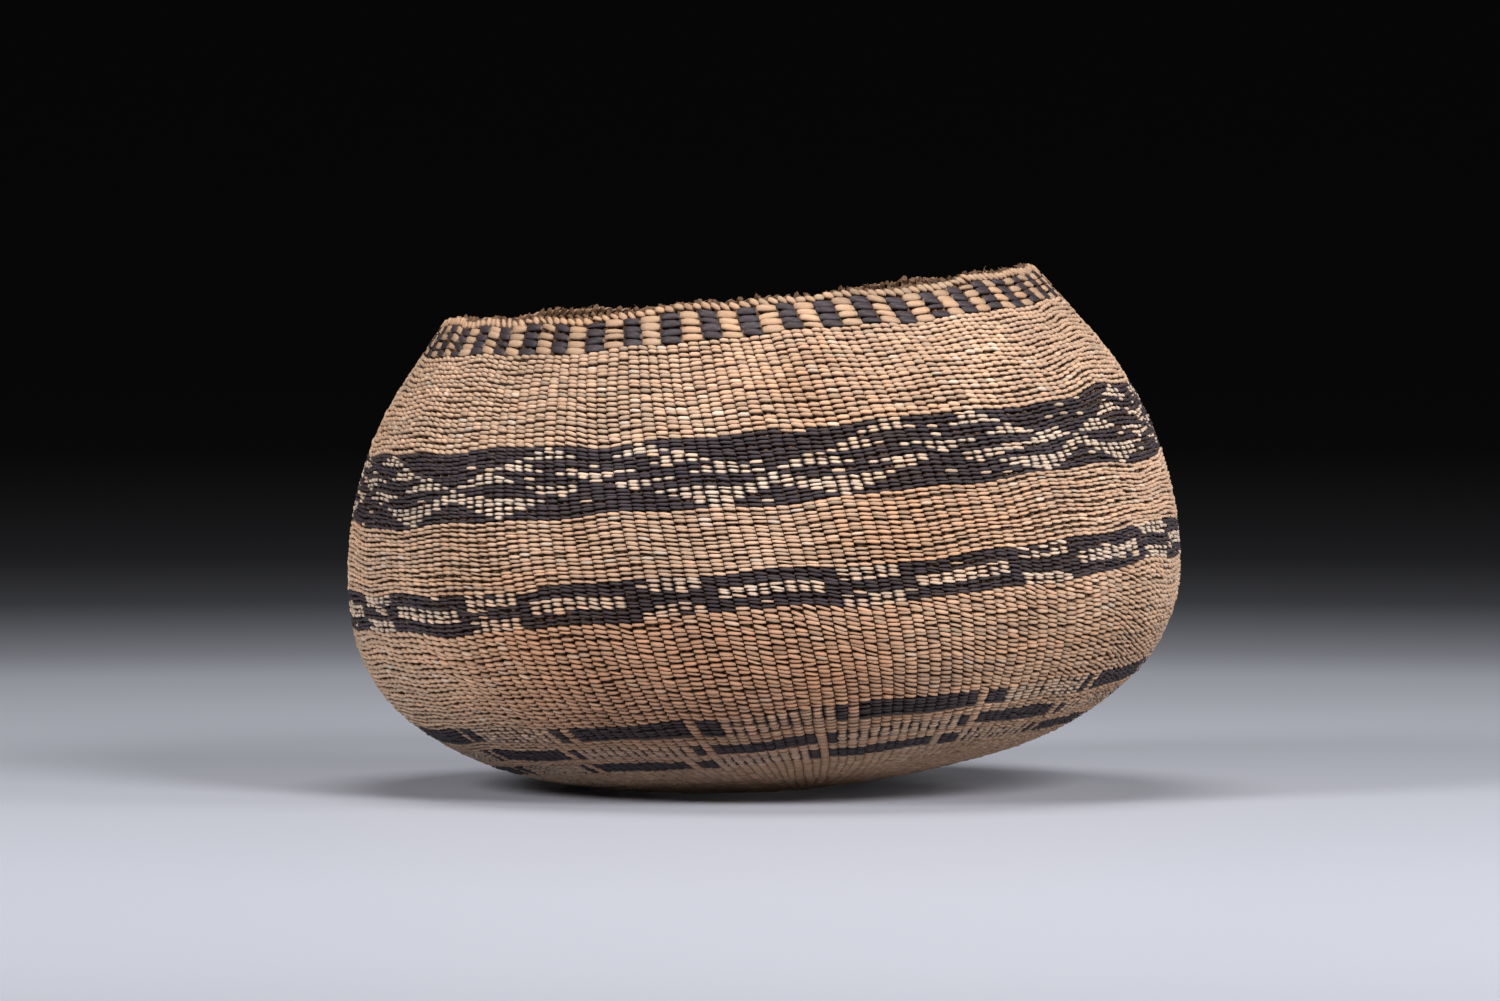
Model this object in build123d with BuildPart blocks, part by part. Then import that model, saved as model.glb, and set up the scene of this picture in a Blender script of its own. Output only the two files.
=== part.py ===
from build123d import *
from math import cos, radians, sin, sqrt, tan
import os

# A round-bottomed twined storage basket, standing as it comes to rest, with its right side up.
# Millimetres and degrees. The origin is on the surface it stands on, under the middle of its box.
# X runs to the right, Y away from the viewer and Z up.

# Outer outline, from the middle of the base to the neck: four tangent arcs and a straight neck.
base_radius = 450.0
heel_radius = 134.0
bilge_radius = 67.0
belly_radius = 150.0
base_angle = 12.6
heel_angle = 39.8
bilge_angle = 86.0
neck_angle = 127.9

# How it stands. The body leans less than the rim, which was woven a little askew and nods backwards.
body_lean = 4.0
rim_lean = 5.3
rim_nod = 1.7
rest_patch_radius = 34.0

# Thickness of the wall: a run of strands outside, the warps, and a run of strands inside.
outer_run = 1.6
warp_thickness = 2.2
inner_run = 1.3
seat_gap = 0.1

# Each course stands out from the grooves beside it, outside and inside.
course_relief = 0.6
flank_share = 0.25

# A cutter for a zone of the wall follows it, well clear of both sides, in this many straight steps.
cut_steps = 12

# Warps lie in fans, each of two first warps with the twelve that were added beside them.
fan_count = 14
fan_gap_angle = 0.8
knot_radius = 13.0

# Where the zones of courses begin, as lengths along the outline from the middle of the base.
dash_start = 124.8
lower_wall_start = 167.5
chain_start = 217.3
middle_wall_start = 233.9
triangle_start = 263.3
shoulder_start = 295.1

# How many courses each zone has, from the knot up.
base_courses = 50
dash_courses = 21
lower_wall_courses = 22
chain_courses = 9
middle_wall_courses = 15
triangle_courses = 17
shoulder_course_height = 2.37

# Heights at the rim, along the body's axis. The neck is plain for a way below the rim band.
plain_neck_height = 10.8
rim_course_height = 3.0
rim_course_gap = 0.2
rim_course_count = 4
top_course_height = 3.0
trimmed_end = 1.5

# The depths at which the runs of the wall begin and end, from its outside.
warp_outside = outer_run + seat_gap
warp_inside = warp_outside + warp_thickness
inner_outside = warp_inside + seat_gap
wall = inner_outside + inner_run

# How far out and up the body's axis each arc of the outline ends.
heel_out = base_radius * sin(radians(base_angle))
heel_up = base_radius * (1 - cos(radians(base_angle)))
bilge_out = heel_out + heel_radius * (sin(radians(heel_angle)) - sin(radians(base_angle)))
bilge_up = heel_up + heel_radius * (cos(radians(base_angle)) - cos(radians(heel_angle)))
belly_out = bilge_out + bilge_radius * (sin(radians(bilge_angle)) - sin(radians(heel_angle)))
belly_up = bilge_up + bilge_radius * (cos(radians(heel_angle)) - cos(radians(bilge_angle)))
neck_out = belly_out + belly_radius * (sin(radians(neck_angle)) - sin(radians(bilge_angle)))
neck_up = belly_up + belly_radius * (cos(radians(bilge_angle)) - cos(radians(neck_angle)))

# The rim stands on the neck, which is drawn long enough to be trimmed askew.
rim_bottom = neck_up + plain_neck_height
rim_band_top = rim_bottom + rim_course_count * rim_course_height
rim_top = rim_band_top + top_course_height
neck_overrun = neck_out * tan(radians(rim_lean - body_lean + rim_nod)) + wall
neck_length = (rim_top + trimmed_end + neck_overrun - neck_up) / sin(radians(neck_angle))

# The centre of the belly arc sets where the middle of the box is, and the base arc the lowest point.
belly_centre_height = belly_up + belly_radius * cos(radians(bilge_angle))
rest_depth = base_radius - sqrt(base_radius**2 - rest_patch_radius**2)
foot = Vector(
    belly_centre_height * sin(radians(body_lean)),
    0,
    base_radius - rest_depth - base_radius * cos(radians(body_lean)),
)
across = Vector(cos(radians(body_lean)), 0, sin(radians(body_lean)))
upward = Vector(-sin(radians(body_lean)), 0, cos(radians(body_lean)))
meridian = Plane(origin=foot, x_dir=across, z_dir=(0, -1, 0))
body_plane = Plane(origin=foot, x_dir=across, z_dir=upward)
body_axis = Axis(foot, upward)


def smooth_side(depth):
    """The outline at a depth inside the wall, from the body's axis to the end of the neck."""
    with BuildLine() as side:
        base = JernArc((0, depth), (1, 0), base_radius - depth, base_angle)
        heel = JernArc(base @ 1, base % 1, heel_radius - depth, heel_angle - base_angle)
        bilge = JernArc(heel @ 1, heel % 1, bilge_radius - depth, bilge_angle - heel_angle)
        belly = JernArc(bilge @ 1, bilge % 1, belly_radius - depth, neck_angle - bilge_angle)
        Line(belly @ 1, belly @ 1 + (belly % 1) * neck_length)
    return side.wire()


outline = smooth_side(0)

# The grooves between the courses, as lengths along the outline. Above the shoulder they run on to its end.
zone_edges = (
    knot_radius,
    dash_start,
    lower_wall_start,
    chain_start,
    middle_wall_start,
    triangle_start,
    shoulder_start,
    outline.length,
)
zone_counts = (
    base_courses,
    dash_courses,
    lower_wall_courses,
    chain_courses,
    middle_wall_courses,
    triangle_courses,
    round((outline.length - shoulder_start) / shoulder_course_height),
)
grooves = [knot_radius]
for low, high, number in zip(zone_edges[:-1], zone_edges[1:], zone_counts):
    grooves += [low + (high - low) * course / number for course in range(1, number + 1)]


def wall_at(length, depth):
    """The point of the wall's section at a length along the outline and a depth inside it."""
    along = outline.tangent_at(length, PositionMode.LENGTH)
    return outline.position_at(length, PositionMode.LENGTH) + Vector(-along.Y, along.X) * depth


def ridged_side(crown_depth, groove_depth):
    """As smooth_side, but with a ridge for each course, chamfered from its crown down to its grooves."""
    points = [wall_at(0, groove_depth)]
    for low, high in zip(grooves[:-1], grooves[1:]):
        flank = flank_share * (high - low)
        points += [
            wall_at(low, groove_depth),
            wall_at(low + flank, crown_depth),
            wall_at(high - flank, crown_depth),
        ]
    points.append(wall_at(grooves[-1], groove_depth))
    with BuildLine() as side:
        Polyline(*points)
    return side.wire()


def run_section(outside, inside, low, high):
    """The section of a run of the wall between two sides, cut square to the wall at two lengths."""
    cut_lengths = [low + (high - low) * step / cut_steps for step in range(cut_steps + 1)]
    with BuildSketch() as section:
        with BuildLine():
            add(outside)
            add(inside)
            Line(outside @ 0, inside @ 0)
            Line(outside @ 1, inside @ 1)
        make_face()
        with BuildLine():
            outer_cut = Polyline(*(wall_at(length, -wall) for length in cut_lengths))
            inner_cut = Polyline(*(wall_at(length, 2 * wall) for length in cut_lengths))
            Line(outer_cut @ 0, inner_cut @ 0)
            Line(outer_cut @ 1, inner_cut @ 1)
        make_face(mode=Mode.INTERSECT)
    return section.sketch


def turned(section, turn=360):
    """A section of the wall carried round the body's axis, all round or for part of a turn."""
    with BuildPart() as ring:
        with BuildSketch(meridian):
            add(section)
        revolve(axis=body_axis, revolution_arc=turn)
    return ring.part


def rim_plane(height):
    """A plane askew as the rim is, that crosses the body's axis at a height along it."""
    askew = Vector(0, 0, 1).rotate(Axis.X, -rim_nod).rotate(Axis.Y, -rim_lean)
    return Plane(origin=foot + upward * height, z_dir=askew)


def save(part, name):
    """Labels a finished piece and writes it."""
    part.label = name
    export_step(part, f"parts/{name}.step")


os.makedirs("parts", exist_ok=True)
outer_sides = (ridged_side(0, course_relief), smooth_side(outer_run))
inner_sides = (smooth_side(inner_outside), ridged_side(wall, wall - course_relief))
outer_rim_sides = (smooth_side(0), smooth_side(outer_run))
inner_rim_sides = (smooth_side(inner_outside), smooth_side(wall))

# Outside, each plain and figured zone of the wall below the shoulder is a ring of courses.
outside_zones = {
    "dash_band_wefts": (dash_start, lower_wall_start),
    "lower_wall_wefts": (lower_wall_start, chain_start),
    "chain_band_wefts": (chain_start, middle_wall_start),
    "middle_wall_wefts": (middle_wall_start, triangle_start),
    "triangle_band_wefts": (triangle_start, shoulder_start),
}
for name, (low, high) in outside_zones.items():
    with BuildPart() as zone_wefts:
        add(turned(run_section(*outer_sides, low, high)))
    save(zone_wefts.part, name)

# Inside, where the figures don't show, one ring backs the zones up to the belly.
with BuildPart() as lower_wall_wefts_inside:
    add(turned(run_section(*inner_sides, dash_start, middle_wall_start)))
save(lower_wall_wefts_inside.part, "lower_wall_wefts_inside")

# The courses of the shoulder end askew under the rim band, outside and inside.
with BuildPart() as shoulder_wefts:
    add(turned(run_section(*outer_sides, shoulder_start, outline.length)))
    split(bisect_by=rim_plane(rim_bottom), keep=Keep.BOTTOM)
save(shoulder_wefts.part, "shoulder_wefts")

with BuildPart() as upper_wall_wefts_inside:
    add(turned(run_section(*inner_sides, middle_wall_start, outline.length)))
    split(bisect_by=rim_plane(rim_bottom), keep=Keep.BOTTOM)
save(upper_wall_wefts_inside.part, "upper_wall_wefts_inside")

# The rim is made of rings cut from the neck by planes that are askew as it is.
outer_neck = turned(run_section(*outer_rim_sides, shoulder_start, outline.length))
inner_neck = turned(run_section(*inner_rim_sides, shoulder_start, outline.length))


def rim_ring(neck, low, high):
    """The ring of the neck between two heights along the body's axis."""
    with BuildPart() as ring:
        add(neck)
        split(bisect_by=rim_plane(high), keep=Keep.BOTTOM)
        split(bisect_by=rim_plane(low), keep=Keep.TOP)
    return ring.part


# The rim band is four heavy courses, each a ring of its own, counted from the lowest.
rim_band_heights = []
for course in range(rim_course_count):
    low = rim_bottom + course * rim_course_height
    rim_band_heights.append((low, low + rim_course_height - rim_course_gap))

for number, (low, high) in enumerate(rim_band_heights, start=1):
    with BuildPart() as rim_course:
        add(rim_ring(outer_neck, low, high))
    save(rim_course.part, f"rim_course_{number}")

with BuildPart() as rim_courses_inside:
    for low, high in rim_band_heights:
        add(rim_ring(inner_neck, low, high))
save(rim_courses_inside.part, "rim_courses_inside")

with BuildPart() as rim_top_course:
    add(rim_ring(outer_neck, rim_band_top, rim_top))
save(rim_top_course.part, "rim_top_course")

with BuildPart() as rim_top_course_inside:
    add(rim_ring(inner_neck, rim_band_top, rim_top))
save(rim_top_course_inside.part, "rim_top_course_inside")

# The base courses run round the start knot, and the outside is worn flat where the basket rests.
with BuildPart() as base_wefts:
    add(turned(run_section(*outer_sides, knot_radius + seat_gap, dash_start)))
    split(bisect_by=Plane.XY, keep=Keep.TOP)
save(base_wefts.part, "base_wefts")

with BuildPart() as base_wefts_inside:
    add(turned(run_section(*inner_sides, knot_radius + seat_gap, dash_start)))
save(base_wefts_inside.part, "base_wefts_inside")

# The start knot fills the whole thickness of the wall at the middle of the base.
with BuildPart() as start_knot:
    add(turned(run_section(smooth_side(0), smooth_side(wall), 0, knot_radius)))
    split(bisect_by=Plane.XY, keep=Keep.TOP)
save(start_knot.part, "start_knot")

# A fan of warps is a slice of the layer between the runs, from the knot to just above the rim.
warp_sides = (smooth_side(warp_outside), smooth_side(warp_inside))
with BuildPart() as fan:
    add(
        turned(
            run_section(*warp_sides, knot_radius + seat_gap, outline.length),
            360 / fan_count - fan_gap_angle,
        )
    )

with BuildPart() as warps:
    with Locations(body_plane):
        with PolarLocations(0, fan_count):
            add(body_plane.to_local_coords(fan.part))
    split(bisect_by=rim_plane(rim_top + trimmed_end), keep=Keep.BOTTOM)
save(warps.part, "warps")
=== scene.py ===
import bpy
import numpy as np
from bpy.props import FloatProperty, FloatVectorProperty, IntProperty, PointerProperty
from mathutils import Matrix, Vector


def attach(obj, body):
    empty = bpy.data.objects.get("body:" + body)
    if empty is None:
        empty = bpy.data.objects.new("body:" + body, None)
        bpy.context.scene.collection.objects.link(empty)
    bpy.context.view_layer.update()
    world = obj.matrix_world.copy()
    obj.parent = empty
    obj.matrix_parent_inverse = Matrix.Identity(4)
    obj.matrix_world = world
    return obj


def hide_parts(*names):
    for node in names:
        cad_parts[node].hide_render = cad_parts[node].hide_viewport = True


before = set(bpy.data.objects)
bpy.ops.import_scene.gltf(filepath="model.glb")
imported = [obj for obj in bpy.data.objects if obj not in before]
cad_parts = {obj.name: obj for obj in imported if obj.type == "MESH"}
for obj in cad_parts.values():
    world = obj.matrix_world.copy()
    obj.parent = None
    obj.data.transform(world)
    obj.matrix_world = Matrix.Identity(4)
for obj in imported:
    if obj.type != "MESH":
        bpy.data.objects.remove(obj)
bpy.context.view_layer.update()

bl_info = {
    "name": "Twined Storage Basket",
    "version": (1, 0, 0),
    "blender": (4, 5, 0),
    "location": "View3D > Sidebar > Basket",
    "description": "Weaves a round-bottomed storage basket, strand by strand, over its packed frame",
    "category": "Object",
}


# Sizes and colours


def length(name, description, metres):
    return FloatProperty(
        name=name,
        description=description,
        default=metres,
        subtype="DISTANCE",
        unit="LENGTH",
    )


def angle(name, description, degrees):
    return FloatProperty(
        name=name,
        description=description,
        default=np.radians(degrees),
        subtype="ANGLE",
        unit="ROTATION",
    )


def count(name, description, number):
    return IntProperty(name=name, description=description, default=number, min=1)


def colour(name, description, parts):
    return FloatVectorProperty(
        name=name,
        description=description,
        default=parts,
        subtype="COLOR",
        size=3,
        min=0,
        max=1,
    )


class BasketOutline(bpy.types.PropertyGroup):
    """The outline of the wall, from the middle of the base to the neck, and how the basket stands"""

    base_radius: length("Base radius", "Radius of the shallow arc under the basket", 0.450)
    heel_radius: length("Heel radius", "Radius of the arc where the base turns up", 0.134)
    bilge_radius: length("Bilge radius", "Radius of the tightest arc, low on the side", 0.067)
    belly_radius: length("Belly radius", "Radius of the arc from the belly over the shoulder", 0.150)
    base_angle: angle("Base angle", "Slope of the outline where the base arc ends", 12.6)
    heel_angle: angle("Heel angle", "Slope of the outline where the heel arc ends", 39.8)
    bilge_angle: angle("Bilge angle", "Slope of the outline where the bilge arc ends", 86.0)
    neck_angle: angle("Neck angle", "Slope of the outline along the straight neck", 127.9)
    body_lean: angle("Body lean", "How far the body leans", 4.0)
    rim_lean: angle("Rim lean", "How far the courses and the rim lean", 5.3)
    rest_patch_radius: length("Rest patch radius", "Radius of the worn flat that the basket stands on", 0.034)


class BasketWeave(bpy.types.PropertyGroup):
    """The sticks and strands, and how far along the outline each zone of courses begins"""

    stick_count: count("Sticks", "Sticks round the belly and the rim", 196)
    knot_edge: length("Knot edge", "Where the start knot ends", 0.013)
    second_sticks_start: length("Second sticks", "Where the second set of sticks comes in", 0.027)
    third_sticks_start: length("Third sticks", "Where the third set of sticks comes in", 0.052)
    fourth_sticks_start: length("Fourth sticks", "Where the fourth set of sticks comes in", 0.092)
    dash_start: length("Dash band", "Where the band of dashes begins", 0.1248)
    lower_wall_start: length("Lower wall", "Where the plain lower wall begins", 0.1675)
    chain_start: length("Chain band", "Where the chain band begins", 0.2173)
    middle_wall_start: length("Middle wall", "Where the plain middle wall begins", 0.2339)
    triangle_start: length("Triangle band", "Where the triangle band begins", 0.2633)
    shoulder_start: length("Shoulder", "Where the plain shoulder begins", 0.2951)
    rim_start: length("Rim band", "Where the heavy rim courses begin", 0.3425)
    top_start: length("Top course", "Where the last course begins", 0.3576)
    trim_start: length("Trimmed ends", "Where the last course ends and the trimmed sticks show", 0.3612)
    stick_middle: length("Stick depth", "How deep the middle of the sticks lies under the outside", 0.0028)
    stick_thickness: length("Stick thickness", "Thickness of a stick", 0.0022)
    strand_thickness: length("Strand thickness", "Thickness of a strand over a stick", 0.0016)
    wall: length("Wall", "Thickness of the whole wall", 0.0053)
    rim_nod_drop: length("Rim nod", "How much lower the rim is at the back", 0.0106)
    column_lean_low: angle("Lower column lean", "How far the columns of stitches lean below the belly", 9)
    column_lean_high: angle("Upper column lean", "How far the columns of stitches lean above the belly", 11)


class BasketColours(bpy.types.PropertyGroup):
    """Colours of the strands, the sticks and the stage"""

    tan: colour("Tan root", "Plain strands", (0.70, 0.465, 0.312))
    cream: colour("Cream root", "Pale strands of the figures", (0.77, 0.595, 0.455))
    dark: colour("Dark root", "Dyed strands", (0.058, 0.042, 0.047))
    rim_tan: colour("Rim tan", "Pale strands of the rim", (0.57, 0.365, 0.232))
    inside: colour("Inside", "Strands inside the basket", (0.33, 0.19, 0.11))
    stick: colour("Sticks", "Peeled sticks", (0.16, 0.085, 0.045))
    floor: colour("Floor", "The floor", (0.510, 0.522, 0.590))


def outline():
    return bpy.context.scene.basket_outline


def weave():
    return bpy.context.scene.basket_weave


def colours():
    return bpy.context.scene.basket_colours


# The wall as a surface


def outline_point(along):
    """How far out from the axis, how far up it and how steep the outline is, at a length along it.

    Four arcs and a straight neck, each tangent to the last: an arc of radius R from slope a to slope b
    adds R (sin b - sin a) outwards and R (cos a - cos b) upwards over a length R (b - a)."""
    sizes = outline()
    radii = (sizes.base_radius, sizes.heel_radius, sizes.bilge_radius, sizes.belly_radius)
    slopes = (0.0, sizes.base_angle, sizes.heel_angle, sizes.bilge_angle, sizes.neck_angle)
    along = np.asarray(along, float)
    out, up, slope = np.zeros_like(along), np.zeros_like(along), np.zeros_like(along)
    start = 0.0
    for radius, low, high in zip(radii, slopes[:-1], slopes[1:]):
        turn = np.clip((along - start) / radius, 0, high - low)
        out = out + radius * (np.sin(low + turn) - np.sin(low))
        up = up + radius * (np.cos(low) - np.cos(low + turn))
        slope = slope + turn
        start += radius * (high - low)
    neck = np.maximum(along - start, 0)
    return out + neck * np.cos(slopes[-1]), up + neck * np.sin(slopes[-1]), slope


def wall_point(turn, along, depth):
    """A point of the wall: at a length along the outline, inwards from it by a depth, turned about the
    leaning axis, and never under the floor."""
    sizes = outline()
    out, up, slope = outline_point(along)
    out = out - depth * np.sin(slope)
    up = up + depth * np.cos(slope)
    lean = sizes.body_lean
    belly_start = (
        sizes.base_radius * sizes.base_angle
        + sizes.heel_radius * (sizes.heel_angle - sizes.base_angle)
        + sizes.bilge_radius * (sizes.bilge_angle - sizes.heel_angle)
    )
    belly_centre = outline_point(belly_start)[1] + sizes.belly_radius * np.cos(sizes.bilge_angle)
    sunk = sizes.base_radius - np.sqrt(sizes.base_radius**2 - sizes.rest_patch_radius**2)
    foot_x = belly_centre * np.sin(lean)
    foot_z = sizes.base_radius - sunk - sizes.base_radius * np.cos(lean)
    right = out * np.cos(turn)
    x = foot_x + right * np.cos(lean) - up * np.sin(lean)
    y = out * np.sin(turn) + 0 * up
    z = foot_z + right * np.sin(lean) + up * np.cos(lean)
    return np.stack([x, y, np.maximum(z, 0)], axis=-1)


def eased(value, low, high):
    """0 below low, 1 above high, and a smooth rise between them."""
    share = np.clip((value - low) / (high - low), 0, 1)
    return share * share * (3 - 2 * share)


# Long low waves that run through the courses: their height, how many go round the basket, how far they
# turn for each metre along the outline, and where they start.
WAVES = (
    (0.0009, 5, 40, 0),
    (0.0007, 11, -70, 1),
    (0.0005, 23, 90, 2),
)

# Puckers in the courses: degrees right of the middle of the front, length along the outline, width in
# degrees, and how far they move the courses up the wall.
PUCKERS = (
    (-24.0, 0.296, 4.0, -0.0012),
    (-17.0, 0.296, 4.0, 0.0010),
    (31.0, 0.292, 6.0, -0.0012),
    (-8.0, 0.230, 6.0, 0.0008),
    (8.0, 0.170, 6.0, 0.0010),
    (22.0, 0.280, 8.0, -0.0014),
    (43.0, 0.280, 14.0, -0.0028),
    (43.0, 0.228, 14.0, -0.0020),
    (15.0, 0.228, 9.0, -0.0011),
    (70.0, 0.300, 9.0, 0.0036),
    (74.0, 0.262, 9.0, -0.0020),
    (0.0, 0.150, 22.0, -0.0034),
)
PUCKER_REACH = 0.02

# Where along the outline the courses start to lean more than the body and to nod back, and where the waves
# start and are full.
LEAN_START = 0.06
NOD_START = 0.27
WAVES_START = 0.02
WAVES_FULL = 0.15


def course_line(along, turn):
    """Where a course lies at a turn. Its plane leans more than the body by the rim's extra lean, which
    fades out towards the base. Waves and puckers run through neighbouring courses. A pucker is a hump of
    rise * exp(-a * a - h * h), where a is how many of its widths and h how many reaches away its middle
    lies. The upper courses nod back by ((1 + sin turn) / 2) ** 2.6 of the rim's nod, which is nothing in
    front and all of it behind."""
    sizes, woven = outline(), weave()
    out, _, slope = outline_point(along)
    extra = np.tan(sizes.rim_lean - sizes.body_lean)
    fade = eased(along, LEAN_START, woven.dash_start)
    askew = fade * out * extra * np.cos(turn) / np.maximum(np.sin(slope), 0.2)
    waves = 0
    for height, number, twist, start in WAVES:
        waves = waves + height * np.cos(number * turn + twist * along + start)
    puckers = 0
    for degrees, height, width, rise in PUCKERS:
        ahead = turn + np.pi / 2 - np.radians(degrees)
        away = (np.remainder(ahead + np.pi, 2 * np.pi) - np.pi) / np.radians(width)
        puckers = puckers + rise * np.exp(-(away**2) - ((along - height) / PUCKER_REACH) ** 2)
    behind = ((1 + np.sin(turn)) / 2) ** 2.6
    nod = woven.rim_nod_drop * eased(along, NOD_START, woven.rim_start) * behind
    return along + askew + eased(along, WAVES_START, WAVES_FULL) * waves + puckers - nod


# The part of the outline over which the turning of the columns is added up, and the length above and below
# the belly over which their lean changes.
COLUMN_WAY = (0.002, 0.375)
LEAN_CHANGE = 0.03


def column_drift(along):
    """How far the columns of stitches have turned by a length along the outline: the sum, over the way, of
    the tangent of their lean over the distance from the axis. It is 0 at the belly."""
    woven = weave()
    way = np.linspace(*COLUMN_WAY, 600)
    out, _, _ = outline_point(way)
    belly = (woven.chain_start + woven.middle_wall_start) / 2
    above = eased(way, belly - LEAN_CHANGE, belly + LEAN_CHANGE)
    lean = woven.column_lean_low + (woven.column_lean_high - woven.column_lean_low) * above
    turned = np.cumsum(-np.tan(lean) / out) * (way[1] - way[0])
    return np.interp(along, way, turned) - np.interp(belly, way, turned)


# Where the seven sticks of a group and the first of the next stand as the fourth set comes in, as shares of
# the group. Three of its four spaces get a new stick, so there is none at seven eighths.
GROUP_STICKS = 7
GROUP_PLACES = (0, 0.125, 0.25, 0.375, 0.5, 0.625, 0.75, 1)
EVENING_LENGTH = 0.03


def stick_turn(place, along, sticks):
    """The turn of a place between the sticks, at a length along the outline. The places are counted in
    sticks. The sticks even out above where the fourth set comes in, and they wander a little."""
    full = weave().stick_count
    even = place / sticks
    if sticks == full:
        group = np.floor(place / GROUP_STICKS)
        within = np.interp(place - GROUP_STICKS * group, np.arange(GROUP_STICKS + 1), GROUP_PLACES)
        crowded = (group + within) / (full / GROUP_STICKS)
        start = weave().fourth_sticks_start
        even = crowded + (even - crowded) * eased(along, start, start + EVENING_LENGTH)
    slow = 0.0003 * np.sin(2 * np.pi * 23 * even + along / 0.011)
    quick = 0.0002 * np.sin(2 * np.pi * 61 * even - along / 0.007)
    wander = (slow + quick) * eased(along, 0.05, 0.15)
    return 2 * np.pi * (even + wander) + column_drift(along)


def repeat_place(places, degrees, along, repeat):
    """Where in a repeat each stick is, when one starts some degrees right of the middle of the front. The
    repeats are counted from there both ways, so that a last one that is cut short is at the back."""
    full = weave().stick_count
    turn = np.radians(degrees - 90) - column_drift(along)
    start = int(np.round(turn / (2 * np.pi) * full))
    before = repeat * int((180 + degrees) / 360 * full / repeat)
    return np.remainder(np.remainder(places - start + before, full) - before, repeat)


# Meshes


def add_piece(name, points, faces, smooth):
    mesh = bpy.data.meshes.new(name)
    mesh.from_pydata(points.reshape(-1, 3), [], faces)
    mesh.polygons.foreach_set("use_smooth", np.full(len(mesh.polygons), smooth))
    mesh.update()
    piece = bpy.data.objects.new(name, mesh)
    bpy.context.scene.collection.objects.link(piece)
    return piece


def loop_faces(loops, steps):
    """Faces of tubes with four corners that close on themselves: corner q of a step joins q + 1, and both
    join the same corners of the next step."""
    step = np.arange(steps)[:, None]
    far = (step + 1) % steps
    side = np.arange(4)
    beside = (side + 1) % 4
    quads = np.stack([4 * step + side, 4 * step + beside, 4 * far + beside, 4 * far + side], axis=-1)
    return (4 * steps * np.arange(loops)[:, None, None, None] + quads).reshape(-1, 4)


def capped_tubes(name, points, smooth=False):
    """A piece of straight or bent tubes, closed at both ends. points holds each tube, each step along it,
    each corner round it, counted so that the sides face outwards, and its place."""
    number, steps, corners = points.shape[:3]
    index = np.arange(number * steps * corners).reshape(number, steps, corners)
    beside = np.roll(index, -1, axis=2)
    sides = np.stack([index[:, :-1], index[:, 1:], beside[:, 1:], beside[:, :-1]], axis=-1)
    faces = sides.reshape(-1, 4).tolist() + index[:, 0].tolist() + index[:, -1, ::-1].tolist()
    piece = add_piece(name, points, faces, smooth)
    piece.data.uv_layers.new(name="Strand")
    return piece


def corner_colours(mesh, shades):
    """One colour a point of the mesh, in the attribute that the materials read."""
    layer = mesh.attributes.new("strand_colour", "FLOAT_COLOR", "POINT")
    flat = np.concatenate([shades.reshape(-1, 3), np.ones((shades.size // 3, 1))], axis=1)
    layer.data.foreach_set("color", flat.astype(np.float32).ravel())


def corner_map(mesh, name, places):
    layer = mesh.uv_layers.new(name=name)
    layer.data.foreach_set("uv", places.astype(np.float32).ravel())


# Where a strand is sampled, in sticks from the one that it passes outside: six places outside, two inside.
# At each, what share it has of its swing outwards, of a half turn about itself, and of the pitch of its
# course for half its width and for its rise along the wall, and its share of painted light, which paints
# shade at the ends of each stitch outside.
STITCH_PLACES = np.array((-0.5, -0.455, -0.2, 0.2, 0.455, 0.5, 0.8, 1.2))
SWING_SHARES = np.array((0.45, 0.85, 1.0, 1.0, 0.85, 0.45, -1.0, -1.0))
TURN_SHARES = np.array((-0.5, -0.08, 0.0, 0.0, 0.08, 0.5, 1.0, 1.0))
WIDTH_SHARES = np.array((0.34, 0.38, 0.47, 0.47, 0.38, 0.34, 0.42, 0.42))
RISE_SHARES = np.array((0.16, 0.13, 0.06, -0.06, -0.13, -0.16, -0.08, 0.08))
LIGHT_SHARES = np.array((0.72, 0.94, 1.0, 1.0, 0.94, 0.72, 1.0, 1.0))

# The section of a strand: a flat crown and two flanks that fall to a broader back. For each corner, its share
# of half the thickness outwards, of half the width, and of the painted light, which paints shade on the
# flanks. On the flanks the painted light is tinted, as a painted reflection off the strand beside it.
CORNER_OUT_SHARES = np.array((1.0, 1.0, -0.8, -0.8))
CORNER_WIDTH_SHARES = np.array((-0.5, 0.5, 1.0, -1.0))
CORNER_LIGHT_SHARES = np.array((1.0, 1.0, 0.38, 0.38))
FLANK_TINT = np.array((1.1, 0.95, 0.9))

# How uneven the hand is, for one normal draw a stitch each: how far a stitch stands out, in metres, how its
# width and its slant vary, as shares of the usual ones, and its place up the wall, as a share of the pitch.
OUT_SPREAD = 0.00016
WIDTH_SPREAD = 0.09
SLANT_SPREAD = 0.35
PLACE_SPREAD = 0.07

# Courses wander against each other, and in four places round the basket a strand is slack and narrower.
# Where strands change places, they are at most a share of the pitch thick, to each side.
ROW_WAVE = 0.00022
SLACK_SHARE = 0.4
CROSSING_THICKNESS = 0.25

# The lower wall is darker, partly from a browner stain and partly from painted shade: its share of the full
# colour, and where that starts and stops to rise.
LOW_SHADE_AND_STAIN = 0.71
LOW_SHADE_AND_STAIN_EDGES = (0.15, 0.235)


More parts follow.
